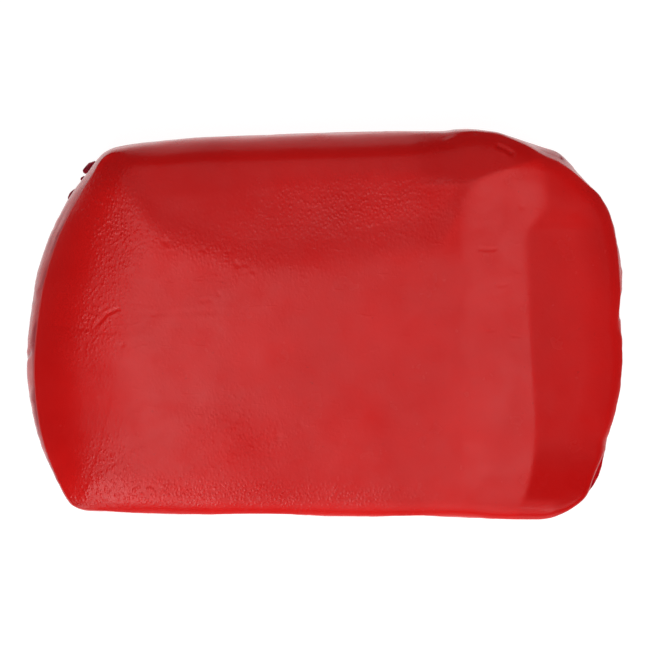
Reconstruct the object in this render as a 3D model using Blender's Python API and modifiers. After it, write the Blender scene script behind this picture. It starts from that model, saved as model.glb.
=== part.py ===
"""A bar of red detailing clay: one soft lump cut from an extruded strip, and the loose crumbs at its cut end.

Metres, +Z up. The bar lies flat: X along its length, Y across it, the origin under its middle, on the face it rests on.
The lump is a subdivided box whose points are carried onto the measured plan outline and edge profiles, then smoothed.
"""

import bmesh
import bpy
import math
from mathutils import Vector

# ---------------------------------------------------------------- driving dimensions
MM = 0.001
LENGTH = 81.2 * MM  # along X
WIDTH = 53.2 * MM  # along Y
THICKNESS = 15.4 * MM  # along Z, at the crown

CAGE_CUTS = 11  # cuts along each edge of the box, 12 cells a side
SMOOTH_LEVELS = 1

# Plan outline at the widest level, in millimetres, corner to corner on each side.
FRONT = [(-34.3, -24.8), (-32.4, -25.2), (-27.3, -25.5), (-16.3, -25.8), (-2.5, -25.8), (11.3, -26.0), (22.7, -26.4), (28.2, -26.5), (32.1, -25.8), (35.5, -24.0)]
BACK = [(-30.0, 23.4), (-25.9, 24.4), (-17.6, 25.2), (-5.2, 25.8), (9.9, 26.1), (20.0, 26.5), (24.1, 25.9), (27.8, 24.7), (32.0, 23.1), (34.7, 20.8)]
LEFT = [(-34.3, -24.8), (-36.4, -22.4), (-38.3, -18.2), (-39.8, -14.0), (-40.8, -8.3), (-40.9, -2.8), (-40.4, 3.0), (-39.5, 8.4), (-37.5, 14.2), (-35.4, 18.4), (-33.1, 21.6), (-30.0, 23.4)]
RIGHT = [(35.5, -24.0), (37.3, -21.6), (38.3, -18.6), (39.2, -15.0), (40.2, -10.8), (40.9, -5.2), (40.8, 0.5), (40.7, 8.2), (39.5, 14.3), (37.5, 18.4), (34.7, 20.8)]

# Rounding of the upper edge on each side: how far in it starts, how much of the thickness it takes, and its power.
ROLL = {
    "left": (12.0, 0.28, 2.0),  # the knife rolls this edge over
    "right": (4.6, 0.06, 2.0),
    "front": (5.0, 0.06, 2.2),
    "back": (14.0, 0.22, 2.2),  # the top sags towards the back
}
RIGHT_FALL_FROM = 13.0  # the top starts to fall away this far from the right end
RIGHT_FALL = math.tan(math.radians(9.0))

# Wall below the rolled edge, from its top ring to the foot: (how far in from the outline, share of the top ring's height).
WALL = [(1.2, 1.00), (0.50, 0.92), (0.15, 0.78), (0.0, 0.60), (0.0, 0.38), (0.35, 0.16), (1.8, 0.0)]

# The foot is tucked under where the crumbs lie, by the back left corner: middle, way in, reach, depth and height (mm).
TUCK_MIDDLE = (-33.2, 19.6)
TUCK_WAY = Vector((0.86, -0.51))
TUCK_REACH, TUCK_DEPTH, TUCK_HEIGHT = 8.0, 2.0, 4.5

# Crumbs lying against the foot of the cut left end: name, place, length, width, height (mm), and their turn in plan.
CRUMBS = [
    ("loose_crumb_large", (-31.75, 21.20, 0.58), 2.2, 1.25, 1.0, 50.0),
    ("loose_crumb_small", (-32.75, 19.65, 0.36), 0.8, 0.6, 0.6, 35.0),
    ("loose_crumb_sliver", (-34.25, 17.45, 0.44), 1.7, 0.9, 0.75, 58.0),
]

CLAY_RED = (0.50, 0.012, 0.012, 1.0)
CRUMB_RED = (0.30, 0.006, 0.012, 1.0)


# ---------------------------------------------------------------- shape rules
def along(points, t):
    """The point at share t of the way along a smooth line through points."""
    steps = [0.0]
    for p, q in zip(points, points[1:]):
        steps.append(steps[-1] + math.dist(p, q))
    want = t * steps[-1]
    i = max(k for k in range(len(points) - 1) if steps[k] <= want + 1e-9)
    u = (want - steps[i]) / (steps[i + 1] - steps[i])
    p0, p1, p2, p3 = (points[min(max(k, 0), len(points) - 1)] for k in (i - 1, i, i + 1, i + 2))
    place = []
    for a, b, c, d in zip(p0, p1, p2, p3):
        place.append(0.5 * (2 * b + (c - a) * u + (2 * a - 5 * b + 4 * c - d) * u**2 + (3 * b - a - 3 * c + d) * u**3))
    return Vector(place)


def plan(a, b):
    """A point of the plan, in millimetres: a runs 0 to 1 along the length and b 0 to 1 across the width."""
    front, back, left, right = along(FRONT, a), along(BACK, a), along(LEFT, b), along(RIGHT, b)
    corners = (
        (1 - a) * (1 - b) * Vector(FRONT[0])
        + a * (1 - b) * Vector(FRONT[-1])
        + (1 - a) * b * Vector(BACK[0])
        + a * b * Vector(BACK[-1])
    )
    return (1 - b) * front + b * back + (1 - a) * left + a * right - corners


def rolled(side, inward):
    """Share of the full height that is left this far in from a side."""
    start, share, power = ROLL[side]
    return 1.0 - share * max(0.0, 1.0 - inward / start) ** power


def top_height(a, b):
    """Height of the upper surface, in millimetres."""
    length, width, full = LENGTH / MM, WIDTH / MM, THICKNESS / MM
    left, right, front, back = a * length, (1 - a) * length, b * width, (1 - b) * width
    crown = 0.16 * (1 - (2 * b - 1) ** 2) + 0.10 * (1 - (2 * a - 1) ** 2)
    fall = RIGHT_FALL * max(0.0, RIGHT_FALL_FROM - right)
    share = rolled("left", left) * rolled("right", right) * rolled("front", front) * rolled("back", back)
    return (full - 0.26 + crown - fall) * share


def tucked(place, height):
    """How far a point of the foot, in millimetres, is tucked in."""
    away = (place - Vector(TUCK_MIDDLE)).length / TUCK_REACH
    low = max(0.0, 1.0 - height / TUCK_HEIGHT)
    return TUCK_WAY * (TUCK_DEPTH * math.exp(-away * away) * low**0.7)


def crowd(t):
    """Carries -1 to 1 onto 0 to 1, with the lines closer together near both ends."""
    return 0.5 + 0.25 * t * (3 - t * t)


# ---------------------------------------------------------------- scene helpers
def clear_scene():
    for obj in list(bpy.data.objects):
        bpy.data.objects.remove(obj, do_unlink=True)


def clay(name, colour, roughness):
    material = bpy.data.materials.new(name)
    material.use_nodes = True
    shader = material.node_tree.nodes["Principled BSDF"]
    shader.inputs["Base Color"].default_value = colour
    shader.inputs["Roughness"].default_value = roughness
    shader.inputs["Metallic"].default_value = 0.0
    return material


def make_object(name, mesh, material, collection):
    mesh.materials.append(material)
    mesh.shade_smooth()
    obj = bpy.data.objects.new(name, mesh)
    collection.objects.link(obj)
    return obj


def evaluated_points(obj):
    bpy.context.view_layer.update()
    evaluated = obj.evaluated_get(bpy.context.evaluated_depsgraph_get())
    mesh = evaluated.to_mesh()
    points = [evaluated.matrix_world @ v.co for v in mesh.vertices]
    evaluated.to_mesh_clear()
    return points


def box_of(points):
    low = Vector([min(p[k] for p in points) for k in range(3)])
    high = Vector([max(p[k] for p in points) for k in range(3)])
    return low, high


# ---------------------------------------------------------------- the pieces
def clay_bar(collection, material):
    bm = bmesh.new()
    bmesh.ops.create_cube(bm, size=2.0)
    bmesh.ops.subdivide_edges(bm, edges=bm.edges[:], cuts=CAGE_CUTS, use_grid_fill=True)
    for v in bm.verts:
        p, q, level = v.co
        drop = (1 - level) / 2 * (len(WALL) - 1)
        i = min(int(drop), len(WALL) - 2)
        u = drop - i
        inset = WALL[i][0] * (1 - u) + WALL[i + 1][0] * u
        share = WALL[i][1] * (1 - u) + WALL[i + 1][1] * u
        du, dv = inset / (LENGTH / MM), inset / (WIDTH / MM)
        a = du + (1 - 2 * du) * crowd(p)
        b = dv + (1 - 2 * dv) * crowd(q)
        ring_u, ring_v = WALL[0][0] / (LENGTH / MM), WALL[0][0] / (WIDTH / MM)
        ring_a = ring_u + (1 - 2 * ring_u) * crowd(p)
        ring_b = ring_v + (1 - 2 * ring_v) * crowd(q)
        place = plan(a, b)
        height = 0.0 if level < -0.999 else share * top_height(ring_a, ring_b)
        place = place + tucked(place, height)
        v.co = Vector((place.x, place.y, height)) * MM
    mesh = bpy.data.meshes.new("clay_bar")
    bm.to_mesh(mesh)
    bm.free()
    obj = make_object("clay_bar", mesh, material, collection)
    smooth = obj.modifiers.new("soften", "SUBSURF")
    smooth.levels = smooth.render_levels = SMOOTH_LEVELS
    # The smoothing pulls the box in a little, so the cage is sized to give the stated length, width and thickness.
    low, high = box_of(evaluated_points(obj))
    size, wanted, middle = high - low, (LENGTH, WIDTH, THICKNESS), (low + high) / 2
    for v in mesh.vertices:
        v.co.x = (v.co.x - middle.x) * wanted[0] / size.x
        v.co.y = (v.co.y - middle.y) * wanted[1] / size.y
        v.co.z = (v.co.z - low.z) * wanted[2] / size.z
    mesh.update()
    return obj


def crumb(name, place, length, width, height, turn, collection, material):
    """A torn bit of clay: a coarse ball, pulled long and pinched at one end."""
    bm = bmesh.new()
    bmesh.ops.create_icosphere(bm, subdivisions=2, radius=0.5)
    for v in bm.verts:
        x, y, z = v.co
        pinch = 1.0 - 0.45 * (x + 0.5)
        knobbly = 1.0 + 0.10 * math.sin(9 * x + 4 * y) * math.cos(7 * z - 3 * x)
        v.co = Vector((x * length, y * width * pinch * knobbly, z * height * (0.6 + 0.4 * pinch) * knobbly)) * MM
    mesh = bpy.data.meshes.new(name)
    bm.to_mesh(mesh)
    bm.free()
    obj = make_object(name, mesh, material, collection)
    obj.location = Vector(place) * MM
    obj.rotation_euler = (0.0, 0.0, math.radians(turn))
    return obj


def main():
    clear_scene()
    collection = bpy.data.collections.new("clay_bar")
    bpy.context.scene.collection.children.link(collection)
    red = clay("clay_red", CLAY_RED, 0.32)
    dark = clay("crumb_red", CRUMB_RED, 0.5)
    clay_bar(collection, red)
    for row in CRUMBS:
        crumb(*row, collection, dark)


main()
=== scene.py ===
"""A bar of red detailing clay on a white table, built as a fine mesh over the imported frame."""

import math

import bmesh
import bpy
import numpy as np
from mathutils import Matrix, Vector


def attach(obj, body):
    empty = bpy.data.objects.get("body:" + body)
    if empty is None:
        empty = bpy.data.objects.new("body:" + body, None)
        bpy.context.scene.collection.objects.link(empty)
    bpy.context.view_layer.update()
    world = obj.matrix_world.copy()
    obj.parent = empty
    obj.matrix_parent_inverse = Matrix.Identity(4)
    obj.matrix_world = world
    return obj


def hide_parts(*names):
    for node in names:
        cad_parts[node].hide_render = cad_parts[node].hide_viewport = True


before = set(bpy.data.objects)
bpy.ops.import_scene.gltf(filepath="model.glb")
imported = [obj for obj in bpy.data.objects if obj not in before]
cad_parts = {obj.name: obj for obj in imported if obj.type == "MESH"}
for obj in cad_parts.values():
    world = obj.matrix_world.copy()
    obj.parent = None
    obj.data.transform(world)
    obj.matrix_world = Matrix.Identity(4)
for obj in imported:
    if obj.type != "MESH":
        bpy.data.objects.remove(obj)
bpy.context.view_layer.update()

MM = 0.001
PIECES = bpy.data.collections.new("clay")
bpy.context.scene.collection.children.link(PIECES)
STAGE = bpy.data.collections.new("studio")
bpy.context.scene.collection.children.link(STAGE)

# ---------------------------------------------------------------- camera and drawing sheet
# The bar is drawn on a 650-unit square sheet, which is the camera's frame. sheet() carries a point of the sheet onto a
# level plane in millimetres, so an outline drawn there lands where the camera sees it.
LENS, SENSOR = 200.0, 36.0
DISTANCE = 493.0
LEAN_LEFT, LEAN_BACK = math.radians(3.0), math.radians(4.0)  # how far the eye stands off the vertical
TARGET = np.array([0.18, -0.30, 5.5])
FORWARD = np.array([math.tan(LEAN_LEFT), -math.tan(LEAN_BACK), -1.0])
FORWARD = FORWARD / np.linalg.norm(FORWARD)
RIGHTWARD = np.cross(FORWARD, (0.0, 1.0, 0.0))
RIGHTWARD = RIGHTWARD / np.linalg.norm(RIGHTWARD)
UP = np.cross(RIGHTWARD, FORWARD)
EYE = TARGET - DISTANCE * FORWARD
TOP = 15.2
PX = 0.1366  # millimetres to a sheet unit at the top of the bar


def sheet(u, v, z):
    u, v, z = np.broadcast_arrays(np.asarray(u, float), np.asarray(v, float), np.asarray(z, float))
    a = ((u - 325.0) / 650.0 * SENSOR / LENS)[..., None]
    b = ((325.0 - v) / 650.0 * SENSOR / LENS)[..., None]
    ray = FORWARD + a * RIGHTWARD + b * UP
    t = (z - EYE[2]) / ray[..., 2]
    return EYE[0] + t * ray[..., 0], EYE[1] + t * ray[..., 1]


def to_sheet(x, y, z):
    """Sheet coordinates of a point in millimetres."""
    d = np.stack([x - EYE[0], y - EYE[1], z - EYE[2]], axis=-1)
    depth = d @ FORWARD
    return 325.0 + (d @ RIGHTWARD) / depth * LENS / SENSOR * 650.0, 325.0 - (d @ UP) / depth * LENS / SENSOR * 650.0


# ---------------------------------------------------------------- small tools
def smooth(t):
    t = np.clip(t, 0.0, 1.0)
    return t * t * (3 - 2 * t)


def ramp(t, low, high):
    return smooth((np.asarray(t, float) - low) / (high - low))


def soft_over(t, w):
    """t where t is well above 0 and 0 where it is well below, rounded over a width w."""
    return w * np.logaddexp(0.0, t / w)


def curve(points, n, closed=False):
    """A smooth line through points as n points evenly spaced along it."""
    p = np.asarray(points, float)
    if closed:
        p = np.vstack([p[-1], p, p[0], p[1]])
    else:
        p = np.vstack([2 * p[0] - p[1], p, 2 * p[-1] - p[-2]])
    out = []
    for i in range(1, len(p) - 2):
        t = np.linspace(0, 1, 60, endpoint=False)[:, None]
        a, b, c, d = p[i - 1], p[i], p[i + 1], p[i + 2]
        out.append(0.5 * (2 * b + (c - a) * t + (2 * a - 5 * b + 4 * c - d) * t**2 + (3 * b - a - 3 * c + d) * t**3))
    out.append(p[-2][None])
    q = np.concatenate(out)
    s = np.concatenate([[0], np.cumsum(np.linalg.norm(np.diff(q, axis=0), axis=1))])
    t = np.linspace(0, s[-1], n, endpoint=not closed)
    return np.stack([np.interp(t, s, q[:, k]) for k in range(q.shape[1])], axis=1)


def blurred(values, width):
    """Values round a closed loop, smoothed over a number of points."""
    reach = int(3 * width)
    k = np.exp(-0.5 * (np.arange(-reach, reach + 1) / width) ** 2)
    k = k / k.sum()
    v = np.asarray(values, float)
    flat = v.reshape(len(v), -1)
    wide = np.concatenate([flat[-reach:], flat, flat[:reach]])
    return np.stack([np.convolve(wide[:, j], k, mode="valid") for j in range(flat.shape[1])], axis=1).reshape(v.shape)


class Noise:
    """Smooth lattice noise in three dimensions, about -1 to 1, the same on every run."""

    def __init__(self, seed):
        self.table = np.random.default_rng(seed).uniform(-1, 1, (32, 32, 32))

    def __call__(self, x, y, z=0.0):
        x, y, z = np.broadcast_arrays(x, y, z)
        xi, yi, zi = np.floor(x).astype(int), np.floor(y).astype(int), np.floor(z).astype(int)
        fx, fy, fz = smooth(x - xi), smooth(y - yi), smooth(z - zi)
        total = 0.0
        for i in (0, 1):
            for j in (0, 1):
                for k in (0, 1):
                    w = (fx if i else 1 - fx) * (fy if j else 1 - fy) * (fz if k else 1 - fz)
                    total = total + w * self.table[(xi + i) % 32, (yi + j) % 32, (zi + k) % 32]
        return total

    def layered(self, x, y, z=0.0, octaves=3):
        total, size = 0.0, 1.0
        for o in range(octaves):
            total = total + size * self(x * 2**o + 7.3 * o, y * 2**o - 3.1 * o, z * 2**o + 5.7 * o)
            size *= 0.5
        return total


def distance_to(x, y, line):
    """Distance in millimetres from each point to a drawn line, and how far along it (0 to 1) the nearest point lies."""
    line = np.asarray(line, float)
    best = np.full(x.shape, 1e9)
    where = np.zeros(x.shape)
    lengths = np.linalg.norm(np.diff(line, axis=0), axis=1)
    start, total = 0.0, lengths.sum()
    for (x0, y0), (x1, y1), n in zip(line[:-1], line[1:], lengths):
        dx, dy = x1 - x0, y1 - y0
        t = np.clip(((x - x0) * dx + (y - y0) * dy) / (n * n), 0, 1)
        d = np.hypot(x - x0 - t * dx, y - y0 - t * dy)
        nearer = d < best
        best = np.where(nearer, d, best)
        where = np.where(nearer, (start + t * n) / total, where)
        start += n
    return best, where


def from_line(x, y, line):
    """Distance in millimetres from a long many-pointed line, and the index of its nearest point."""
    best, which = np.empty(x.shape), np.empty(x.shape, int)
    for k in range(0, len(x), 4000):
        part = slice(k, k + 4000)
        px, py = x[part], y[part]
        d = (px[:, None] - line[None, :, 0]) ** 2 + (py[:, None] - line[None, :, 1]) ** 2
        i = d.argmin(axis=1)
        exact = np.sqrt(d[np.arange(len(i)), i])
        for step in (-1, 1):
            j = np.clip(i + step, 0, len(line) - 1)
            ax, ay = line[i, 0], line[i, 1]
            dx, dy = line[j, 0] - ax, line[j, 1] - ay
            n = np.maximum(dx * dx + dy * dy, 1e-12)
            t = np.clip(((px - ax) * dx + (py - ay) * dy) / n, 0, 1)
            exact = np.minimum(exact, np.hypot(px - ax - t * dx, py - ay - t * dy))
        best[part], which[part] = exact, i
    return best, which


def on_top(points):
    """A line drawn on the sheet, laid on the upper face, in millimetres."""
    p = np.asarray(points, float)
    return np.stack(sheet(p[:, 0], p[:, 1], TOP), axis=1)


# ---------------------------------------------------------------- outline
# The bar's widest outline as drawn on the sheet, anticlockwise from the middle of the right end.
OUTLINE = [
    (619.5, 318), (621, 301), (622.2, 285), (620.6, 262), (618, 245), (613.4, 224), (607.3, 208), (597.6, 193), (588, 184), (578, 173),
    (568, 162), (557, 153), (542, 148), (526, 142), (509.5, 136.5), (497, 132.5), (484, 130.8), (470, 129.6), (456, 130.2), (449, 131.4), (437, 131.8),
    (397, 131.8), (337, 132.5), (287, 134.2), (237, 136.5), (197, 138.3), (157, 142), (137, 144), (117, 147.5), (107, 151.5),
    (98.5, 159), (90, 171), (80, 184), (69, 199), (58, 219), (49, 239), (42, 259), (36.5, 279), (33, 299), (30, 322), (28, 345),
    (27.5, 370), (29, 389), (32, 409), (36, 429), (42.5, 449), (51, 469), (61, 489.5), (67, 499.6), (73.2, 506.4),
    (83, 510), (97, 511.2), (127, 513), (167, 514), (207, 514.5), (257, 514.2), (307, 514.8), (357, 515.6), (407, 515.6), (447, 515.2),
    (470, 516.2), (497, 518.8), (530, 519.8), (547, 518.6), (559, 514.6), (570.5, 509), (583, 499.5),
    (591.4, 489), (596.8, 479), (601, 469), (603.8, 459), (605, 449), (604.8, 440), (608.4, 430.5), (613, 419), (617.2, 401), (620.3, 386), (622.8, 362), (622.5, 347), (622, 337), (619.5, 327),
]
ROUND = 752  # mesh points round the bar
FINE = 2 * ROUND
loop = curve(OUTLINE, FINE, closed=True)


def place_on_loop(u, v):
    return int(np.argmin((loop[:, 0] - u) ** 2 + (loop[:, 1] - v) ** 2))


def round_edge(keys):
    """A number that changes smoothly round the outline, given at places on the sheet: (u, v, number)."""
    k = sorted((place_on_loop(u, v), value) for u, v, value in keys)
    index = np.array([p for p, _ in k], float)
    value = np.array([q for _, q in k], float)
    index = np.concatenate([[index[-1] - FINE], index, [index[0] + FINE]])
    value = np.concatenate([[value[-1]], value, [value[0]]])
    t = np.arange(FINE)
    i = np.clip(np.searchsorted(index, t, side="right") - 1, 0, len(index) - 2)
    f = smooth((t - index[i]) / (index[i + 1] - index[i]))
    return blurred(value[i] * (1 - f) + value[i + 1] * f, 6)


# Heights of the outline and of the foot's start; how far in from the outline the lip stands, where the top has turned down
# to half a right angle; how far the lip lies below the top; how far below the lip the edge stands upright; the foot's inset.
OUTLINE_HIGH = round_edge([
    (620, 318, 11.4), (621.4, 297, 10.6), (621.8, 282, 10.0), (619.8, 260, 10.0), (614, 228, 10.8), (600, 197, 11.0), (585, 181, 9.4), (568, 162, 8.4), (545, 148, 8.4), (520, 139, 9.2), (505, 135, 10.2), (460, 130, 10.2), (400, 132, 8.2), (290, 134, 7.0), (110, 150, 7.0), (80, 182, 7.0),
    (30, 322, 7.0), (32, 409, 8.2), (45, 455, 10.0), (61, 488, 11.2), (75, 506, 12.2), (130, 513, 12.6), (400, 516, 12.6), (545, 519, 12.2), (572, 509, 11.4), (584, 499, 9.6), (592, 489, 8.8), (604, 456, 8.8), (607, 440, 10.4), (612, 424, 11.2),
])
WIDEST = round_edge([
    (620, 318, 7.6), (621.4, 297, 8.8), (621.8, 282, 9.6), (619.8, 260, 9.6), (614, 228, 8.8), (600, 197, 7.6), (575, 170, 8.2), (545, 148, 8.2), (520, 139, 9.2), (505, 135, 10.2), (460, 130, 10.2), (400, 132, 8.2), (290, 134, 6.2), (200, 138, 6.2), (110, 150, 6.4), (80, 182, 6.4),
    (30, 322, 6.6), (32, 409, 7.0), (45, 455, 7.4), (70, 502, 7.8), (130, 513, 8.2), (400, 516, 8.2), (545, 519, 8.2), (590, 492, 8.6), (605, 450, 8.6), (616, 410, 7.8),
])
LIP_IN = round_edge([
    (620, 318, 0.24), (621.4, 297, 0.32), (621.8, 282, 0.58), (619.8, 260, 0.52), (616, 240, 0.36), (608, 210, 0.26), (592, 189, 0.22), (578, 173, 0.50), (568, 162, 0.90), (557, 153, 1.22), (542, 148, 0.98), (527, 141.5, 0.50), (510, 136, 0.28), (490, 131, 0.20), (470, 129, 0.22),
    (440, 132, 0.60), (400, 132, 1.05), (340, 132.5, 1.25), (290, 134, 1.20), (180, 140, 1.05), (124, 146.5, 0.70),
    (112, 149.5, 0.36), (104, 154, 0.26), (94, 165, 0.42), (83, 180, 0.66), (70, 197, 1.05), (40, 268, 1.20), (30, 322, 1.15), (28, 370, 1.05), (32, 409, 0.85), (38, 437, 0.66), (46, 458, 0.45), (61, 488, 0.34), (75, 506, 0.34),
    (130, 513, 0.24), (400, 516, 0.22), (545, 519, 0.24), (572, 509, 0.28), (586, 497, 0.60), (595, 483, 1.25), (601, 468, 1.30), (604.5, 455, 0.95), (605, 447, 0.45), (606, 436, 0.24),
])
DROP = round_edge([
    (620, 318, 0.7), (592, 189, 0.8), (557, 153, 0.9), (527, 142, 1.2), (490, 131, 1.5), (440, 132, 1.7), (400, 132, 1.9), (200, 138, 1.95), (122, 147, 2.1), (104, 154, 2.3), (90, 169, 2.7), (66, 204, 3.2),
    (40, 268, 3.5), (28, 370, 3.5), (36, 430, 3.3), (46, 458, 2.9), (61, 488, 2.2), (78, 508, 1.7), (130, 513, 1.55), (230, 514, 1.25), (400, 516, 1.1), (530, 519.8, 1.05), (550, 518, 0.72), (572, 509, 0.45), (594, 486, 0.52), (606, 444, 0.7),
])
ROUND_DOWN = round_edge([
    (620, 318, 0.6), (592, 189, 0.6), (557, 153, 1.6), (505, 135, 0.7), (470, 129, 0.7), (440, 132, 1.6), (400, 132, 2.6), (340, 132.5, 3.7), (200, 138, 3.9), (122, 147, 2.9), (104, 154, 2.2), (70, 197, 3.3), (40, 268, 3.5), (28, 370, 3.0), (38, 437, 2.0), (46, 458, 1.4),
    (75, 506, 1.0), (300, 515, 0.85), (560, 515, 0.85), (600, 470, 1.2), (607, 440, 0.6),
])
FOOT_IN = round_edge([
    (620, 318, 1.7), (578, 173, 1.5), (500, 133, 2.0), (440, 132, 1.9), (300, 134, 1.5), (120, 147, 1.9), (88, 171, 2.4), (65, 206, 2.4), (42, 259, 1.8), (28, 370, 1.5), (75, 506, 1.3), (300, 515, 1.4), (560, 515, 1.4), (600, 472, 1.6),
])
LEAN = round_edge([  # 1 where the wall leans out from the lip to a spread lower edge, 0 where the edge is rounded
    (620, 318, 0.0), (621.4, 297, 0.3), (621.8, 282, 1.0), (619.8, 260, 1.0), (615, 235, 0.5), (606, 206, 0.1), (600, 197, 0.0), (588, 184, 0.4), (575, 170, 1.0), (545, 148, 1.0), (520, 139, 0.6), (500, 133, 0.0), (300, 134, 0.0), (112, 150, 0.0), (101, 156, 0.7), (90, 171, 1.0),
    (30, 330, 1.0), (34, 420, 0.85), (46, 458, 0.4), (61, 488, 0.1), (75, 506, 0.0), (300, 515, 0.0), (560, 515, 0.0), (584, 499, 0.6), (594, 485, 1.0), (604, 456, 1.0), (606, 436, 0.0),
])
CUT = round_edge([  # 1 on the cut ends, 0 on the long sides
    (620, 318, 1.0), (600, 197, 1.0), (560, 156, 0.3), (520, 139, 0.0), (300, 134, 0.0), (120, 147, 0.0), (98, 159, 1.0), (30, 330, 1.0), (68, 499, 1.0), (90, 511, 0.0), (300, 515, 0.0), (560, 515, 0.2), (596, 480, 1.0),
])

LEFT_END = round_edge([  # 1 on the rolled left end
    (620, 318, 0.0), (300, 134, 0.0), (110, 150, 0.0), (100, 157, 0.7), (92, 168, 1.0), (30, 330, 1.0), (46, 458, 1.0), (61, 488, 0.5), (75, 506, 0.0), (300, 515, 0.0),
])

ROUGH = round_edge([  # 1 where the wall is pressed and scuffed, 0 where it is smooth
    (620, 318, 1.0), (612, 220, 1.0), (597, 193, 0.3), (575, 170, 0.0), (500, 133, 0.0), (300, 134, 0.0), (105, 153, 0.0), (30, 330, 0.0), (55, 478, 0.0), (75, 506, 0.5), (100, 511, 1.0), (300, 515, 1.0), (560, 515, 1.0), (584, 499, 0.4), (600, 470, 0.3), (608, 430, 1.0),
])
EASED = round_edge([  # 1 where the outline's waves die away down the wall
    (620, 318, 1.0), (608, 210, 1.0), (588, 184, 0.4), (560, 155, 0.0), (300, 134, 0.0), (30, 330, 0.0), (75, 506, 0.0), (300, 515, 0.0), (540, 519, 0.3), (572, 509, 1.0), (600, 470, 1.0),
])

SILHOUETTE = np.stack(sheet(loop[:, 0], loop[:, 1], OUTLINE_HIGH), axis=1)
tangent = np.roll(SILHOUETTE, -1, axis=0) - np.roll(SILHOUETTE, 1, axis=0)
OUTWARD = np.stack([tangent[:, 1], -tangent[:, 0]], axis=1)
OUTWARD = OUTWARD / np.linalg.norm(OUTWARD, axis=1, keepdims=True)
OUTWARD = blurred(OUTWARD, 7)
OUTWARD = OUTWARD / np.linalg.norm(OUTWARD, axis=1, keepdims=True)
EASY = blurred(OUTWARD, 34)  # the same, turning slowly round the corners
EASY = EASY / np.linalg.norm(EASY, axis=1, keepdims=True)
LIP = SILHOUETTE - OUTWARD * LIP_IN[:, None]

# The left end is rolled over by the knife and has its own profile; the rest of the edge is pressed round.
FROM, TO = place_on_loop(103.5, 154.3), place_on_loop(71.5, 504.8)
LEFT = LIP[FROM : TO + 1]
RIM = np.concatenate([LIP[TO:], LIP[: FROM + 1]])
ROLL_WIDE = round_edge([(620, 318, 5.5), (600, 197, 5.5), (560, 156, 4.6), (500, 133, 5.4), (462, 129.5, 6.0), (400, 132, 5.4), (320, 133, 5.6), (200, 138, 6.6), (112, 150, 5.6), (75, 506, 4.4), (130, 513, 5.6), (230, 514, 5.6), (400, 516, 5.4), (510, 520, 5.0), (545, 519, 2.8), (575, 507, 3.0), (600, 472, 5.0)])
ROLL_TIGHT = round_edge([(620, 318, 1.5), (560, 156, 2.0), (500, 133, 3.0), (300, 134, 3.0), (112, 150, 2.8), (75, 506, 2.4), (130, 513, 2.5), (400, 516, 2.3), (530, 519.8, 2.0), (550, 518, 1.3), (575, 507, 0.8), (600, 472, 1.2)])
WIDE_SHARE = round_edge([(620, 318, 0.45), (566, 161, 0.40), (500, 133, 0.60), (400, 132, 0.46), (200, 138, 0.50), (75, 506, 0.50), (130, 513, 0.52), (230, 514, 0.40), (400, 516, 0.34), (545, 519, 0.30), (600, 472, 0.40)])
POWER = 2.5


def rim_values(values):
    return np.concatenate([values[TO:], values[: FROM + 1]])


# ---------------------------------------------------------------- upper surface
def through(points):
    """A value that follows points smoothly: v for u, or u for v, both on the sheet."""
    line = curve(points, 700)
    order = np.argsort(line[:, 0])
    return lambda t: np.interp(t, line[order, 0], line[order, 1])


fold_right = through([(140, 538), (172, 543), (190, 546), (205, 546), (216, 540), (226, 531), (240, 527), (310, 529), (370, 532.5), (420, 535.5), (450, 534.5), (478, 530), (501, 523), (530, 511)])
bulb_back = through([(400, 187), (440, 185), (462, 183.5), (475, 180), (500, 172.5), (515, 167), (530, 163), (545, 160), (640, 156)])
band_right = through([(140, 520), (165, 505), (176, 485), (195, 470), (215, 465), (280, 466), (400, 464), (530, 462)])
sag_back = through([(60, 150), (105, 176), (135, 208), (165, 240), (215, 258), (250, 269), (320, 264), (400, 251), (440, 243), (480, 200), (620, 180)])
rolling, wall_noise = Noise(3), Noise(29)


def level(x, y):
    """The upper face before its edges are rolled down, in millimetres."""
    u, v = to_sheet(x, y, np.full(x.shape, TOP))
    z = np.full(x.shape, TOP) - 0.16 * (y / 26.0) ** 2 - 0.10 * (x / 41.0) ** 2
    z = z - math.tan(math.radians(2.4)) * soft_over((u - band_right(v)) * PX, 0.4)
    z = z - math.tan(math.radians(6.2)) * soft_over((u - fold_right(v)) * PX, 0.14 + 0.30 * (1 - ramp(v, 215, 330)))
    # Behind the swelling at the back right the face breaks down towards the back edge.
    z = z - math.tan(math.radians(4.2)) * soft_over((bulb_back(u) - v) * PX, 0.16) * ramp(u, 440, 468) * (1 - ramp(u, 520, 560))
    # The sag begins sharply on the left and ever more gently to the right.
    sag = (sag_back(u) - v) * PX
    gentle = ramp(u, 240, 390)
    falls = 1 - ramp(u, 390, 480)
    return z - falls * (math.tan(math.radians(4.2)) * soft_over(sag, 1.5 + 0.9 * gentle) + 0.10 * ramp(sag + 0.2 + 1.8 * gentle, 0.0, 4.4 + 1.8 * gentle))


LIP_HIGH = blurred(level(LIP[:, 0], LIP[:, 1]), 8) - DROP


def left_roll(y):
    """The left end's roll: how far in its long and its short run reach, and the long run's share of the fall."""
    shrink = 1 - 0.40 * ramp(y, 8.0, 22.0)
    reach = 13.8 + 3.0 * ramp(-y, -8.0, 8.0) - 4.0 * ramp(-y, 9.0, 23.0)
    slack = 0.52 + 0.15 * ramp(-y, -8.0, 8.0) - 0.12 * ramp(-y, 9.0, 23.0)
    return reach * shrink, 6.5 * shrink, slack


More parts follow.
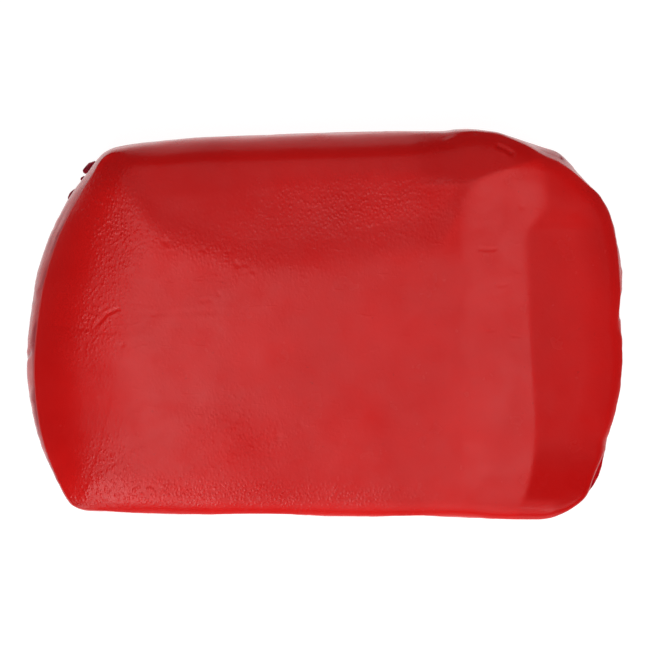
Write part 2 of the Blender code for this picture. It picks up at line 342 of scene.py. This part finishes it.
def top_form(x, y):
    """The upper surface without its fine marks, in millimetres."""
    d_rim, i_rim = from_line(x, y, RIM)
    d_left, i_left = from_line(x, y, LEFT)
    wide, tight, share = (rim_values(k)[i_rim] for k in (ROLL_WIDE, ROLL_TIGHT, WIDE_SHARE))
    rim = 1 - share * np.clip(1 - d_rim / wide, 0, 1) ** 2 - (1 - share) * np.clip(1 - d_rim / tight, 0, 1) ** POWER
    reach, near, slack = left_roll(y)
    left = 1 - slack * np.clip(1 - d_left / reach, 0, 1) ** 2 - (1 - slack) * np.clip(1 - d_left / near, 0, 1) ** 2.1
    from_left, from_rim = d_left + 0.01, d_rim + 0.01
    lip = (LIP_HIGH[FROM : TO + 1][i_left] * from_rim + rim_values(LIP_HIGH)[i_rim] * from_left) / (from_left + from_rim)
    return lip + (level(x, y) - lip) * rim * left


def grain_at(u, v):
    """How strong the orange-peel skin is, 0 to 1."""

    def patch(cu, cv, ru, rv, turn=0.0):
        c, s = math.cos(math.radians(turn)), math.sin(math.radians(turn))
        p, q = (u - cu) * c + (v - cv) * s, -(u - cu) * s + (v - cv) * c
        return np.exp(-((p / ru) ** 2 + (q / rv) ** 2))

    g = 0.07 + 1.0 * patch(110, 219, 24, 48) + 0.32 * patch(205, 248, 70, 16, 12) + 0.6 * patch(350, 205, 75, 26)
    g = g + 0.6 * patch(150, 492, 80, 14) + 0.55 * patch(290, 496, 110, 11) + 0.4 * patch(235, 445, 40, 32) + 0.5 * patch(86, 318, 28, 42)
    g = g + 0.4 * patch(106, 458, 24, 26)
    return np.clip(g, 0, 1)


left_end = through([(130, 125), (152, 106), (171, 90), (199, 69), (239, 49), (279, 36.5), (322, 30), (370, 27.5), (409, 32), (449, 42.5), (489, 61.5), (507, 76), (530, 95)])


def shade_paint_at(u, v):
    """Painted shade, 0 to 1: how far the colour is darkened to stand in for shade on the rolled left end, the slack
    back, the strip behind the swelling, the facet and its front corner.
    """
    width = 45 + 40 * ramp(v, 190, 250) - 25 * ramp(v, 425, 460)
    left = (1 - ramp((u - left_end(v) - 6) / width, 0, 1)) * (1 - 0.25 * ramp(v, 325, 390) - 0.50 * ramp(v, 415, 475))
    left = left + 0.45 * np.exp(-(((u - 122) / 22) ** 2) - ((v - 222) / 40) ** 2)
    behind = sag_back(u) - v
    back = (0.72 - 0.20 * ramp(u, 190, 260)) * ramp(behind, -14, 26) * (1 - 0.5 * ramp(u, 330, 390))
    back = (back + 0.35 * ramp(behind, -8, 8) * (1 - ramp(behind, 22, 40)) * ramp(u, 330, 390)) * (1 - ramp(u - band_right(v), -8, 3))
    back = back + 0.40 * ramp(174 - v, -6, 8) * ramp(u, 320, 390) * (1 - ramp(u, 430, 470)) + 0.35 * ramp(v, 499, 506) * (1 - ramp(u, 170, 230))
    ledge = 1.00 * ramp(bulb_back(u) - v, -2, 4) * ramp(u, 400, 460) * (1 - ramp(u, 522, 560))
    facet = ramp(u - fold_right(v), -3, 5) * (0.44 - 0.14 * ramp(u, 545, 575) + 0.85 * ramp(u, 572, 610) * (1 - ramp(v, 225, 330)) + 0.20 * ramp(u, 590, 614))
    corner = 0.75 * ramp(u - fold_right(v), -3, 5) * ramp(v, 420, 470) * (1 - ramp(v, 496, 504) * (1 - 0.8 * ramp(u, 546, 562)))
    return np.clip(left + back + ledge + facet + corner, 0, 1)


def dulled_at(u, v):
    """How far the upper face has lost its gloss to handling, 0 to 1: beside the swelling, on the facet's front corner, in front."""
    beside = 0.42 * ramp(u, 405, 435) * (1 - ramp(u - band_right(v), -9, 1)) * ramp(v, 180, 190) * (1 - ramp(v, 240, 268))
    beside = beside + 0.28 * ramp(bulb_back(u) - v, -2, 4) * ramp(u, 395, 440) * (1 - ramp(u, 515, 545)) * ramp(v, 140, 150)
    corner = 0.72 * ramp(u - fold_right(v), -3, 5) * ramp(v, 440, 478) * (1 - ramp(v, 496, 504) * (1 - 0.8 * ramp(u, 546, 562)))
    worn = 0.36 * np.exp(-(((u - 248) / 42) ** 2) - ((v - 449) / 30) ** 2) + 0.24 * np.exp(-(((u - 365) / 45) ** 2) - ((v - 418) / 30) ** 2)
    worn = worn + 0.24 * np.exp(-(((u - 118) / 22) ** 2) - ((v - 405) / 26) ** 2) + 0.18 * np.exp(-(((u - 88) / 13) ** 2) - ((v - 350) / 55) ** 2)
    return beside + corner + worn + 0.26 * np.exp(-(((u - 300) / 65) ** 2) - ((v - 488) / 20) ** 2)


def groove(x, y, line, depth, width, fade=0.15):
    """A furrow along a drawn line, deepest in its middle stretch, with a slight lip either side."""
    d, t = distance_to(x, y, on_top(line))
    ends = ramp(t, 0.0, fade) * (1 - ramp(t, 1 - fade, 1.0)) * 0.85 + 0.15
    ends = np.where((t <= 0) | (t >= 1), 0.3, ends)
    return ends * depth * (-np.exp(-((d / width) ** 2)) + 0.35 * np.exp(-(((d - 2.2 * width) / width) ** 2)))


def top_marks(x, y):
    """Swells, creases, cracks and pits of the upper surface, in millimetres."""
    u, v = to_sheet(x, y, np.full(x.shape, TOP))
    inside = ramp(u, 70, 140) * (1 - ramp(u, 520, 600)) * ramp(v, 150, 190) * (1 - ramp(v, 470, 500))
    p, q = 0.94 * x + 0.34 * y, 0.94 * y - 0.34 * x  # askew, so that the lattice does not show
    z = 0.034 * rolling.layered(p / 15.0, q / 11.0, 0.5, 2) * inside
    z = z + 0.008 * rolling.layered(p / 5.6, q / 3.6, 4.5, 2) * (0.35 + 0.65 * inside)
    z = z + 0.0045 * rolling.layered(x / 1.6, y / 1.3, 9.5, 2) * (0.3 + grain_at(u, v))
    # A crack running in from the left end, and the faint fold it turns into.
    z = z + groove(x, y, [(95, 328), (99, 322.5), (103, 318), (106, 314), (112, 311.5), (116, 309.5), (120, 309)], 0.10, 0.19)
    z = z + groove(x, y, [(99, 317), (102, 311), (108, 307), (114, 306.5)], 0.035, 0.17)
    z = z + groove(x, y, [(119, 310), (135, 313), (160, 314), (190, 312), (236, 311)], 0.010, 0.30)
    # Short folds, scratches and a pinch near the back right corner.
    z = z + groove(x, y, [(497, 145), (501, 147.5), (505, 148.5), (509, 151), (513, 154)], 0.20, 0.20)
    z = z + groove(x, y, [(445, 138.5), (450, 135.5), (456, 133)], 0.16, 0.22)
    z = z + groove(x, y, [(478, 248), (486, 249.8), (497, 249.4)], 0.055, 0.15)
    z = z + groove(x, y, [(496, 285), (506, 286)], 0.022, 0.14)
    z = z + groove(x, y, [(512, 336), (523, 337)], 0.022, 0.14)
    z = z + groove(x, y, [(486, 332), (494, 330)], 0.020, 0.14)
    z = z + groove(x, y, [(200, 302), (212, 299)], 0.025, 0.2)
    # A run of pits along the slack line, and a few strays.
    for pu, pv, r, d in (
        (166, 242, 0.42, 0.09), (172, 246, 0.20, -0.03), (229, 251.5, 0.26, 0.05), (237, 265, 0.34, 0.07), (245, 264.5, 0.24, 0.05), (246, 268, 0.20, -0.04),
        (253, 271, 0.24, 0.03), (253, 275.5, 0.20, -0.03), (219, 294, 0.24, 0.03), (204, 250, 0.26, 0.06), (500, 146, 0.24, 0.10), (512, 153, 0.28, 0.14), (122, 345, 0.25, 0.05), (277, 437, 0.5, 0.05), (270, 442, 0.35, 0.04), (300, 424, 0.24, 0.03),
        (222, 398, 0.16, -0.03), (294, 452, 0.16, -0.03), (474, 397, 0.15, -0.03), (150, 186, 0.25, 0.04), (128, 152, 0.2, 0.03), (522, 207, 0.24, 0.04),
        (477, 133, 0.28, 0.12), (467, 135, 0.25, 0.06),
    ):
        cx, cy = sheet(pu, pv, TOP)
        z = z - d * np.exp(-((x - cx) ** 2 + (y - cy) ** 2) / (r * r))
    return z


# ---------------------------------------------------------------- the bar's mesh
BAND, BAND_ROWS = 3.4, 14  # millimetres of edge that follow the lip, and their rows
CORE_ROWS = 82  # rows from there to the bar's middle line
WALL_TURN, WALL_FACE, WALL_LOWER = 8, 7, 10  # rows of the wall: rounding below the lip, face, foot
MIDDLE = 16.0  # half the length of the middle line


def bar_mesh():
    n = ROUND
    lip, outward, easy = LIP[::2], OUTWARD[::2], EASY[::2]
    lip_in, widest, foot_in, round_down = LIP_IN[::2], WIDEST[::2], FOOT_IN[::2], ROUND_DOWN[::2]
    lean, cut, left_end_on, roughed = LEAN[::2], CUT[::2], LEFT_END[::2], ROUGH[::2]
    ease = ((blurred(SILHOUETTE, 40) - SILHOUETTE) * EASED[:, None])[::2]
    turn = 2 * math.pi * np.arange(n) / n
    core = np.stack([MIDDLE * np.cos(turn), np.zeros(n)], axis=1)
    inner = lip - easy * BAND

    rings = [lip - easy * (BAND * (k / BAND_ROWS) ** 1.5) for k in range(BAND_ROWS + 1)]
    rings += [inner + (core - inner) * (k / CORE_ROWS) for k in range(1, CORE_ROWS)]
    half = n // 2
    flat = np.concatenate(rings + [core[: half + 1]])
    z = top_form(flat[:, 0], flat[:, 1]) + top_marks(flat[:, 0], flat[:, 1])
    verts = [np.column_stack([flat, z])]
    faces = []
    around = np.arange(n)
    onward = (around + 1) % n
    for k in range(len(rings) - 1):
        faces.append(np.stack([k * n + around, k * n + onward, (k + 1) * n + onward, (k + 1) * n + around], axis=1))
    k = len(rings) - 1
    seam = len(rings) * n + np.minimum(around, n - around)
    faces.append(np.stack([k * n + around, k * n + onward, seam[onward], seam[around]], axis=1))
    base = len(flat)

    # Wall: from the lip out to the widest level, then in to the foot. A rounded edge turns upright just below the lip
    # and goes straight down; a leaning wall runs out from the lip all the way to the widest level.
    top_z = z[:n]
    height_all = top_z - widest
    wide, tight, share = ROLL_WIDE[::2], ROLL_TIGHT[::2], WIDE_SHARE[::2]
    slope = DROP[::2] * (2 * share / wide + POWER * (1 - share) / tight)
    reach, near, slack = left_roll(lip[:, 1])
    slope = np.where((around * 2 > FROM) & (around * 2 < TO), DROP[::2] * (2 * slack / reach + 2.1 * (1 - slack) / near), slope)
    q = np.clip(slope * lip_in / round_down, 0.18, 0.485)
    begin = np.arcsin(blurred(np.clip(q / (1 - q), 0.2, 0.95), 5))
    length = np.concatenate([[0], np.cumsum(np.linalg.norm(np.diff(lip, axis=0), axis=1))])
    inclusion = length[place_on_loop(28, 354) // 2]
    back_corner, front_corner = length[place_on_loop(558, 154) // 2], length[place_on_loop(598, 474) // 2]
    upper = WALL_TURN + WALL_FACE
    spot = length[place_on_loop(593, 486) // 2]
    rows, shade_on_walls, skin, matt = [], [np.zeros(len(flat))], [np.zeros(len(flat))], [np.zeros(len(flat))]
    for row in range(1, upper + WALL_LOWER + 1):
        if row <= upper:
            t = min(row / WALL_TURN, 1.0)
            angle = begin + (math.pi / 2 - begin) * t
            out = lip_in * (np.sin(angle) - np.sin(begin)) / (1 - np.sin(begin))
            height = top_z - round_down * (1 - np.cos(angle) / np.cos(begin))
            if row > WALL_TURN:
                t = (row - WALL_TURN) / WALL_FACE
                height = (top_z - round_down) * (1 - t) + widest * t
                out = lip_in + 0.08 * math.sin(math.pi / 2 * t)
            t = row / upper
            out = out * (1 - lean) + (lip_in * (1 - (1 - t) ** (1.35 + 0.75 * left_end_on)) + 0.08 * t) * lean
            height = height * (1 - lean) + (top_z - height_all * t) * lean
        else:
            angle = (row - upper) / WALL_LOWER * math.pi / 2
            out = lip_in + 0.08 - foot_in * (1 - np.cos(angle) ** 0.9)
            height = widest * (1 - np.sin(angle) ** 0.9)
        t = row / (upper + WALL_LOWER)
        on = ramp(t, 0.0, 0.25) * (1 - ramp(t, 0.86, 1.0))
        s, h = length, height
        lumps = 0.10 * wall_noise.layered(s / 6.5, h / 4.0, 1.5, 2)
        drag = 0.045 * wall_noise.layered(s / 11.0, h / 0.9, 7.5, 2) * (1 - cut)
        smear = 0.050 * wall_noise.layered(s / 0.9, h / 6.0, 12.5, 2) * cut
        pebble = 0.018 * wall_noise.layered(s / 1.1, h / 1.0, 20.5, 2)
        # A fold pressed into the left end.
        pinch = np.exp(-(((s - inclusion - 0.35 * (9.0 - h)) / 0.45) ** 2) - ((h - 8.0) / 2.4) ** 2)
        move = (lumps * (1 + 1.4 * roughed) + drag * (1 + 1.2 * roughed) + smear * (1 + 0.6 * roughed) + pebble * (1 + roughed) - 0.30 * pinch) * on
        # Painted shade under the two right-hand corners and in the fold: the colour is darkened where these hollows lie
        # in shade, giving out raggedly down the wall; the same mask also dulls the gloss there.
        shade_breakup = ramp(wall_noise.layered(s / 0.8, h / 2.2, 27.5, 2), 0.05, 0.5)
        ragged = 1 - ramp(t + 0.22 * wall_noise.layered(s / 1.1, h / 2.6, 40.5, 2), 0.46, 0.80)
        apart = np.abs(s - front_corner) / 4.3 + 0.24 * wall_noise.layered(s / 1.7, h / 2.4, 60.5, 2)
        at_front = (1 - ramp(apart, 0.50, 1.15)) * (1 - ramp(t + 0.20 * wall_noise.layered(s / 1.3, h / 2.8, 64.5, 2), 0.44, 0.78))
        spot_shade = 0.42 * np.exp(-(((s - spot) / 0.8) ** 2) - ((t - 0.26) / 0.17) ** 2)
        painted_wall_shade = (0.46 + 0.42 * shade_breakup) * np.exp(-(((s - back_corner) / 3.4) ** 4)) + at_front * (0.16 + 0.22 * shade_breakup + spot_shade)
        painted_wall_shade = painted_wall_shade * ragged + 0.6 * pinch
        # Painted shade on the left end's wall: a streaked darkening, and a darker band just under its lip.
        streak = ramp(wall_noise.layered(s / 4.5, (h + 0.25 * s) / 1.3, 33.5, 2), -0.1, 0.6)
        left_wall_shade = left_end_on * ((0.12 + 0.36 * streak) * ragged + 0.30 * math.exp(-(((t - 0.06) / 0.075) ** 2)))
        shade_on_walls.append(painted_wall_shade * ramp(t, 0.0, 0.12) + left_wall_shade * ramp(t, 0.0, 0.05))
        matt.append(np.maximum(shade_on_walls[-1] / 0.88, at_front * ramp(t, 0.0, 0.08)))
        most = 0.06 + 0.14 * roughed * ramp(t, 0.15, 0.40)
        p = lip + outward * (out + np.minimum(move, most))[:, None]
        p = p + ease * (ramp(t, 0.10, 0.50) * (1 - lean) + ramp(t, 0.60, 0.90) * lean)[:, None]
        rows.append(np.column_stack([p, height]))
        pitted = ramp(wall_noise.layered(s / 5.0, h / 4.0, 50.5, 2), -0.5, 0.6)
        skin.append((roughed * (0.25 + 0.45 * pitted) + 0.5 * at_front) * ramp(t, 0.05, 0.20))
    last = around
    for r in rows:
        now = base + around
        base += n
        faces.append(np.stack([last, now, now[onward], last[onward]], axis=1))
        last = now
    verts.extend(rows)

    # Underside: a ring that halves the count, then a flat fill.
    h = n // 2
    foot = rows[-1][:, :2]
    under = (foot - easy * 1.5)[::2]
    steps = 7
    ring_a = base + np.arange(h)
    o0, o1, o2 = last[0::2], last[1::2], np.roll(last, -2)[0::2]
    next_a = np.roll(ring_a, -1)
    tris = np.stack([o0, ring_a, o1], axis=1)
    faces.append(np.stack([o1, ring_a, next_a, o2], axis=1))
    small = core[::2]
    flat_rings = [under + (small - under) * (k / steps) for k in range(steps)]
    for r in flat_rings:
        verts.append(np.column_stack([r, np.zeros(h)]))
    quarter = h // 2
    verts.append(np.column_stack([small[: quarter + 1], np.zeros(quarter + 1)]))
    idx = np.arange(h)
    nxt = (idx + 1) % h
    for k in range(steps - 1):
        faces.append(np.stack([base + k * h + idx, base + (k + 1) * h + idx, base + (k + 1) * h + nxt, base + k * h + nxt], axis=1))
    k = steps - 1
    seam = base + steps * h + np.minimum(idx, h - idx)
    faces.append(np.stack([base + k * h + idx, seam[idx], seam[nxt], base + k * h + nxt], axis=1))

    v = np.concatenate(verts)
    quads = np.concatenate(faces)
    polygons = [list(dict.fromkeys(f)) for f in quads.tolist()] + tris.tolist()
    mesh = bpy.data.meshes.new("clay_body")
    mesh.from_pydata((v * MM).tolist(), [], [f for f in polygons if len(f) > 2])
    mesh.update()
    u_s, v_s = to_sheet(v[:, 0], v[:, 1], v[:, 2])
    rest = [np.zeros(len(v) - sum(len(k) for k in shade_on_walls))]
    shade_on_walls, skin, matt = (np.concatenate(k + rest) for k in (shade_on_walls, skin, matt))
    matt[: len(flat)] = dulled_at(u_s[: len(flat)], v_s[: len(flat)])
    for name, values in (("grain", grain_at(u_s, v_s) + skin), ("painted_shade", shade_paint_at(u_s, v_s)), ("painted_wall_shade", shade_on_walls), ("matt", matt)):
        layer = mesh.attributes.new(name, "FLOAT", "POINT")
        layer.data.foreach_set("value", np.clip(values, 0, 1).astype(np.float32))
    mesh.shade_smooth()
    return mesh


# ---------------------------------------------------------------- materials
class Nodes:
    def __init__(self, material):
        material.use_nodes = True
        self.tree = material.node_tree
        self.shader = self.tree.nodes["Principled BSDF"]

    def add(self, kind, **settings):
        n = self.tree.nodes.new(kind)
        for name, value in settings.items():
            setattr(n, name, value)
        return n

    def link(self, a, b):
        self.tree.links.new(a, b)

    def noise(self, coords, scale, detail=2.0, rough=0.5):
        n = self.add("ShaderNodeTexNoise")
        n.inputs["Scale"].default_value = scale
        n.inputs["Detail"].default_value = detail
        n.inputs["Roughness"].default_value = rough
        self.link(coords, n.inputs["Vector"])
        return n.outputs["Fac"]

    def math(self, kind, a, b):
        n = self.add("ShaderNodeMath", operation=kind)
        for k, value in enumerate((a, b)):
            if isinstance(value, (int, float)):
                n.inputs[k].default_value = value
            else:
                self.link(value, n.inputs[k])
        return n.outputs[0]

    def span(self, value, low, high, to_low, to_high):
        n = self.add("ShaderNodeMapRange")
        n.inputs["From Min"].default_value = low
        n.inputs["From Max"].default_value = high
        n.inputs["To Min"].default_value = to_low
        n.inputs["To Max"].default_value = to_high
        self.link(value, n.inputs["Value"])
        return n.outputs["Result"]

    def mix(self, factor, a, b):
        n = self.add("ShaderNodeMix", data_type="RGBA")
        self.link(factor, n.inputs[0])
        for k, value in ((6, a), (7, b)):
            if isinstance(value, tuple):
                n.inputs[k].default_value = value
            else:
                self.link(value, n.inputs[k])
        return n.outputs[2]

    def bump(self, height, strength, distance, normal=None):
        n = self.add("ShaderNodeBump")
        n.inputs["Strength"].default_value = strength
        n.inputs["Distance"].default_value = distance
        self.link(height, n.inputs["Height"])
        if normal is not None:
            self.link(normal, n.inputs["Normal"])
        return n.outputs["Normal"]


def clay_material():
    material = bpy.data.materials.new("clay_red")
    n = Nodes(material)
    coords = n.add("ShaderNodeTexCoord").outputs["Object"]
    skin = n.add("ShaderNodeAttribute", attribute_name="grain").outputs["Fac"]
    # Colour: a deep pigment red, clouded where it was kneaded.
    cloud = n.noise(coords, 90.0, 4.0, 0.55)
    tint = n.span(cloud, 0.3, 0.7, 0.0, 1.0)
    colour = n.mix(tint, (0.688, 0.0057, 0.0049, 1), (0.773, 0.0080, 0.0068, 1))
    speck = n.noise(coords, 1400.0, 2.0, 0.6)
    dark = n.span(speck, 0.70, 0.80, 0.0, 0.35)
    colour = n.mix(dark, colour, (0.36, 0.004, 0.006, 1))
    # Painted shade: a deeper red is mixed in where the upper face lies in shade (rolled left end, slack back, facet and
    # its corner).
    painted_shade = n.add("ShaderNodeAttribute", attribute_name="painted_shade").outputs["Fac"]
    colour = n.mix(n.math("MULTIPLY", painted_shade, 0.50), colour, (0.44, 0.0032, 0.0034, 1))
    # Painted shade: a dark maroon is mixed in on the walls where they lie in shade, under the right-hand corners, in
    # the fold and on the left end.
    painted_wall_shade = n.add("ShaderNodeAttribute", attribute_name="painted_wall_shade").outputs["Fac"]
    colour = n.mix(painted_wall_shade, colour, (0.28, 0.005, 0.018, 1))
    n.link(colour, n.shader.inputs["Base Color"])
    # Gloss: satin, duller where the skin is pebbled.
    patchy = n.noise(coords, 260.0, 3.0, 0.6)
    rough = n.math("ADD", n.span(patchy, 0.3, 0.7, 0.20, 0.28), n.math("MULTIPLY", skin, 0.06))
    n.link(rough, n.shader.inputs["Roughness"])
    n.shader.inputs["IOR"].default_value = 1.34
    wax = n.noise(coords, 300.0, 4.0, 0.65)
    matt = n.add("ShaderNodeAttribute", attribute_name="matt").outputs["Fac"]
    gloss = n.math("MULTIPLY", n.span(wax, 0.3, 0.7, 0.39, 0.57), n.span(matt, 0.0, 1.0, 1.0, 0.0))
    n.link(gloss, n.shader.inputs["Specular IOR Level"])
    # Skin: orange peel, short scuffs along the bar, and a fine tooth under them.
    dots = n.add("ShaderNodeTexVoronoi", feature="SMOOTH_F1")
    dots.inputs["Scale"].default_value = 2500.0
    dots.inputs["Smoothness"].default_value = 0.3
    pulled = n.add("ShaderNodeMapping")
    pulled.inputs["Scale"].default_value = (1.0, 0.75, 1.0)
    n.link(coords, pulled.inputs["Vector"])
    n.link(pulled.outputs["Vector"], dots.inputs["Vector"])
    uneven = n.span(n.noise(coords, 1100.0, 2.0, 0.5), 0.35, 0.65, 0.35, 1.0)
    peel = n.math("MULTIPLY", n.span(dots.outputs["Distance"], 0.1, 0.6, 1.0, 0.0), uneven)
    height = n.math("MULTIPLY", peel, skin)
    normal = n.bump(height, 1.0, 0.000085)
    drawn = n.add("ShaderNodeMapping")
    drawn.inputs["Scale"].default_value = (0.30, 1.0, 1.0)
    n.link(coords, drawn.inputs["Vector"])
    scuffs = n.span(n.noise(drawn.outputs["Vector"], 1500.0, 1.0, 0.5), 0.66, 0.76, 0.0, 1.0)
    normal = n.bump(scuffs, 0.22, 0.00003, normal)
    tooth = n.noise(coords, 5200.0, 2.0, 0.5)
    normal = n.bump(tooth, 0.10, 0.00003, normal)
    n.link(normal, n.shader.inputs["Normal"])
    return material


def crumb_material():
    material = bpy.data.materials.new("crumb_red")
    n = Nodes(material)
    coords = n.add("ShaderNodeTexCoord").outputs["Object"]
    # Painted shade: the crumbs get a darker, bluer copy of the clay's red, standing in for the shade they lie in under
    # the end's overhang; it is clouded at random.
    cloud = n.noise(coords, 1500.0, 3.0, 0.6)
    colour = n.mix(n.span(cloud, 0.3, 0.7, 0.0, 1.0), (0.26, 0.002, 0.022, 1), (0.44, 0.004, 0.034, 1))
    n.link(colour, n.shader.inputs["Base Color"])
    n.shader.inputs["Specular IOR Level"].default_value = 0.25
    n.link(n.span(cloud, 0.3, 0.7, 0.35, 0.6), n.shader.inputs["Roughness"])
    n.link(n.bump(n.noise(coords, 6000.0, 3.0, 0.6), 0.5, 0.00006), n.shader.inputs["Normal"])
    return material


# ---------------------------------------------------------------- pieces
def add_piece(name, mesh, material, node):
    mesh.materials.append(material)
    obj = bpy.data.objects.new(name, mesh)
    PIECES.objects.link(obj)
    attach(obj, "root")
    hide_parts(node)
    return obj


red, shaded_crumb_red = clay_material(), crumb_material()
add_piece("clay_body", bar_mesh(), red, "clay_bar")


def crumb_mesh(name, place, size, turn, seed):
    bm = bmesh.new()
    bmesh.ops.create_icosphere(bm, subdivisions=4, radius=0.5)
    lump = Noise(seed)
    co = np.array([v.co[:] for v in bm.verts])
    d = 1 + 0.22 * lump.layered(co[:, 0] * 3.1, co[:, 1] * 3.1, co[:, 2] * 3.1, 3)
    c, s = math.cos(math.radians(turn)), math.sin(math.radians(turn))
    for v, k in zip(bm.verts, d):
        x, y, z = v.co
        pinch = 1.0 - 0.45 * (x + 0.5)
        x, y, z = x * size[0] * k, y * size[1] * pinch * k, z * size[2] * (0.6 + 0.4 * pinch) * k
        v.co = Vector((place[0] + x * c - y * s, place[1] + x * s + y * c, max(0.02, place[2] + z))) * MM
    mesh = bpy.data.meshes.new(name)
    bm.to_mesh(mesh)
    bm.free()
    mesh.shade_smooth()
    return mesh


add_piece("crumb_large", crumb_mesh("crumb_large", (-31.75, 21.20, 0.55), (2.2, 1.25, 1.0), 50.0, 51), shaded_crumb_red, "loose_crumb_large")
add_piece("crumb_small", crumb_mesh("crumb_small", (-32.75, 19.65, 0.34), (0.8, 0.6, 0.6), 35.0, 52), shaded_crumb_red, "loose_crumb_small")
add_piece("crumb_sliver", crumb_mesh("crumb_sliver", (-34.25, 17.45, 0.42), (1.7, 0.9, 0.75), 58.0, 53), shaded_crumb_red, "loose_crumb_sliver")

# ---------------------------------------------------------------- table, lights, camera
scene = bpy.context.scene
scene.view_settings.view_transform = "Standard"
scene.view_settings.look = "None"

bm = bmesh.new()
bmesh.ops.create_grid(bm, x_segments=40, y_segments=40, size=6.0)
mesh = bpy.data.meshes.new("table")
bm.to_mesh(mesh)
bm.free()
table = bpy.data.objects.new("table", mesh)
STAGE.objects.link(table)
paper = bpy.data.materials.new("table_white")
n = Nodes(paper)
n.shader.inputs["Base Color"].default_value = (0.22, 0.22, 0.22, 1)
n.shader.inputs["Roughness"].default_value = 0.9
n.shader.inputs["Specular IOR Level"].default_value = 0.0
n.shader.inputs["Emission Color"].default_value = (1, 1, 1, 1)
n.shader.inputs["Emission Strength"].default_value = 0.95
mesh.materials.append(paper)


def panel(name, place, aim, width, height, radiance):
    """A soft box: an area light of a given brightness, turned to face a point."""
    light = bpy.data.lights.new(name, "AREA")
    light.shape = "RECTANGLE"
    light.size, light.size_y = width, height
    light.energy = radiance * math.pi * width * height
    obj = bpy.data.objects.new(name, light)
    STAGE.objects.link(obj)
    obj.location = place
    obj.rotation_mode = "QUATERNION"
    obj.rotation_quaternion = (Vector(aim) - Vector(place)).to_track_quat("-Z", "Y")
    return obj


def flat_panel(name, x0, x1, y0, y1, z, radiance):
    light = bpy.data.lights.new(name, "AREA")
    light.shape = "RECTANGLE"
    light.size, light.size_y = x1 - x0, y1 - y0
    light.energy = radiance * math.pi * (x1 - x0) * (y1 - y0)
    obj = bpy.data.objects.new(name, light)
    STAGE.objects.link(obj)
    obj.location = ((x0 + x1) / 2, (y0 + y1) / 2, z)
    return obj


flat_panel("overhead_edge", -0.31, -0.22, -0.235, 0.055, 0.8, 0.5)
flat_panel("overhead_soft", -0.22, -0.13, -0.235, 0.055, 0.8, 1.6)
flat_panel("overhead_left", -0.13, 0.03, -0.235, 0.055, 0.8, 2.8)
flat_panel("overhead_middle", 0.03, 0.13, -0.235, 0.055, 0.8, 0.3)
flat_panel("overhead_right", 0.13, 0.245, -0.235, 0.055, 0.8, 2.8)
flat_panel("overhead_far", 0.245, 0.55, -0.095, 0.055, 0.8, 0.6)
flat_panel("overhead_back", -0.24, 0.245, 0.055, 0.22, 0.8, 0.25)
flat_panel("overhead_rear", -0.24, 0.245, 0.22, 0.80, 0.8, 0.55)
panel("front_left", (-0.255, -0.55, 0.85), (-0.255, 0, 0), 0.38, 0.60, 4.8)
panel("front_right", (0.15, -0.55, 0.85), (0.15, 0, 0), 0.22, 0.60, 1.2)
panel("front_far", (0.405, -0.55, 0.85), (0.405, 0, 0), 0.29, 0.60, 0.08)
panel("front_low_left", (-0.23, -0.98, 0.62), (-0.23, 0, 0), 0.32, 0.44, 2.2)
panel("front_low", (0.295, -0.98, 0.62), (0.295, 0, 0), 0.61, 0.44, 0.85)
panel("key", (0.75, -0.75, 0.95), (0, 0, 0), 0.60, 0.60, 2.4)

world = bpy.data.worlds.new("studio")
scene.world = world
world.use_nodes = True
tree = world.node_tree
tree.nodes.clear()
coords = tree.nodes.new("ShaderNodeTexCoord")
split = tree.nodes.new("ShaderNodeSeparateXYZ")
ramp_node = tree.nodes.new("ShaderNodeValToRGB")
background = tree.nodes.new("ShaderNodeBackground")
output = tree.nodes.new("ShaderNodeOutputWorld")
tree.links.new(coords.outputs["Generated"], split.inputs["Vector"])
tree.links.new(split.outputs["Z"], ramp_node.inputs["Fac"])
stops = ramp_node.color_ramp.elements
stops[0].position, stops[0].color = 0.0, (0.95, 0.95, 0.95, 1)
stops[1].position, stops[1].color = 1.0, (0.12, 0.12, 0.12, 1)
for place, value in ((0.05, 0.92), (0.10, 0.14), (0.55, 0.12)):
    e = stops.new(place)
    e.color = (value, value, value, 1)
tree.links.new(ramp_node.outputs["Color"], background.inputs["Color"])
tree.links.new(background.outputs["Background"], output.inputs["Surface"])

camera = bpy.data.cameras.new("camera")
camera.lens, camera.sensor_width, camera.sensor_fit = LENS, SENSOR, "HORIZONTAL"
camera.clip_start, camera.clip_end = 0.01, 50.0
view = bpy.data.objects.new("camera", camera)
STAGE.objects.link(view)
view.location = Vector(EYE) * MM
view.rotation_mode = "QUATERNION"
view.rotation_quaternion = Matrix((RIGHTWARD, UP, -FORWARD)).transposed().to_quaternion()
scene.camera = view
